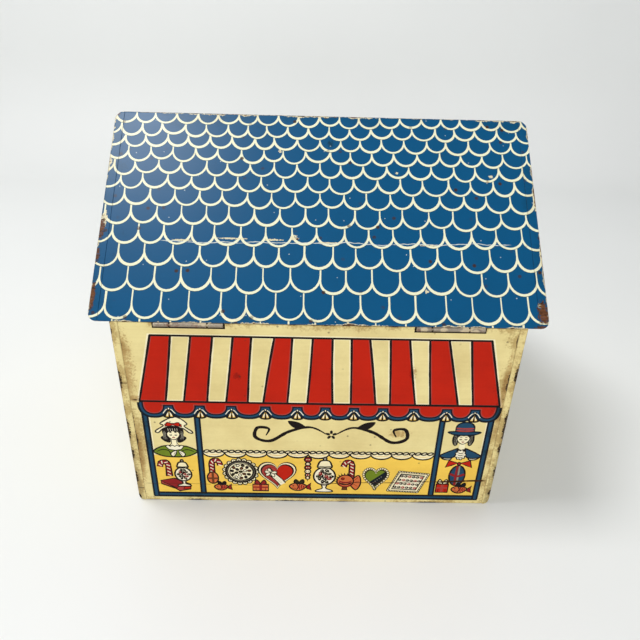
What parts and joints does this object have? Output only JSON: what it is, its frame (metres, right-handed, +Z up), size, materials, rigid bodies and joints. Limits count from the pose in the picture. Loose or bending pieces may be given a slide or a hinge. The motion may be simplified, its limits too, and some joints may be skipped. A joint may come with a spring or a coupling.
{
  "type": "house-shaped money box",
  "caption": "Wooden money box shaped as a small shop with a gabled roof; the front roof slope is a hinged flap and the rear slope has the coin slot.",
  "frame": {"origin": "on the ground under the middle of the whole box", "axes": "+X to the right along the ridge seen from the front, +Y from the front wall to the back, +Z up"},
  "size_m": [0.201, 0.1672, 0.1774],
  "materials": {
    "cream_paint": "aged cream paint and printed shop-front art on wood, satin varnish",
    "blue_paint": "blue paint with cream scallop lines on wood, glossy, chipped at the edges",
    "raw_wood": "bare softwood",
    "hinge_steel": "dull stamped steel, worn plating",
    "nail_steel": "dark steel, painted over"
  },
  "bodies": {
    "box": {"base_board": "raw_wood", "front_wall": "cream_paint", "back_wall": "cream_paint", "left_side_wall": "cream_paint", "right_side_wall": "cream_paint", "ridge_batten": "raw_wood", "rear_roof_board": "blue_paint", "rear_left_strip": "blue_paint", "rear_right_strip": "blue_paint", "rear_roof_nail_left_1": "nail_steel", "rear_roof_nail_left_2": "nail_steel", "rear_roof_nail_right_1": "nail_steel", "rear_roof_nail_right_2": "nail_steel", "left_hinge_wall_leaf": "hinge_steel", "left_hinge_pin": "hinge_steel", "left_hinge_wall_screw_1": "hinge_steel", "left_hinge_wall_screw_2": "hinge_steel", "right_hinge_wall_leaf": "hinge_steel", "right_hinge_pin": "hinge_steel", "right_hinge_wall_screw_1": "hinge_steel", "right_hinge_wall_screw_2": "hinge_steel"},
    "flap": {"roof_flap": "blue_paint", "flap_left_strip": "blue_paint", "flap_right_strip": "blue_paint", "left_hinge_flap_leaf": "hinge_steel", "left_hinge_flap_screw_1": "hinge_steel", "left_hinge_flap_screw_2": "hinge_steel", "right_hinge_flap_leaf": "hinge_steel", "right_hinge_flap_screw_1": "hinge_steel", "right_hinge_flap_screw_2": "hinge_steel"}
  },
  "joints": [
    {"name": "roof_flap_hinge", "type": "hinge", "parent": "box", "child": "flap", "pos_m": [0, -0.08263, 0.10695], "axis": [1, 0, 0], "range_deg": [0, 200]}
  ]
}
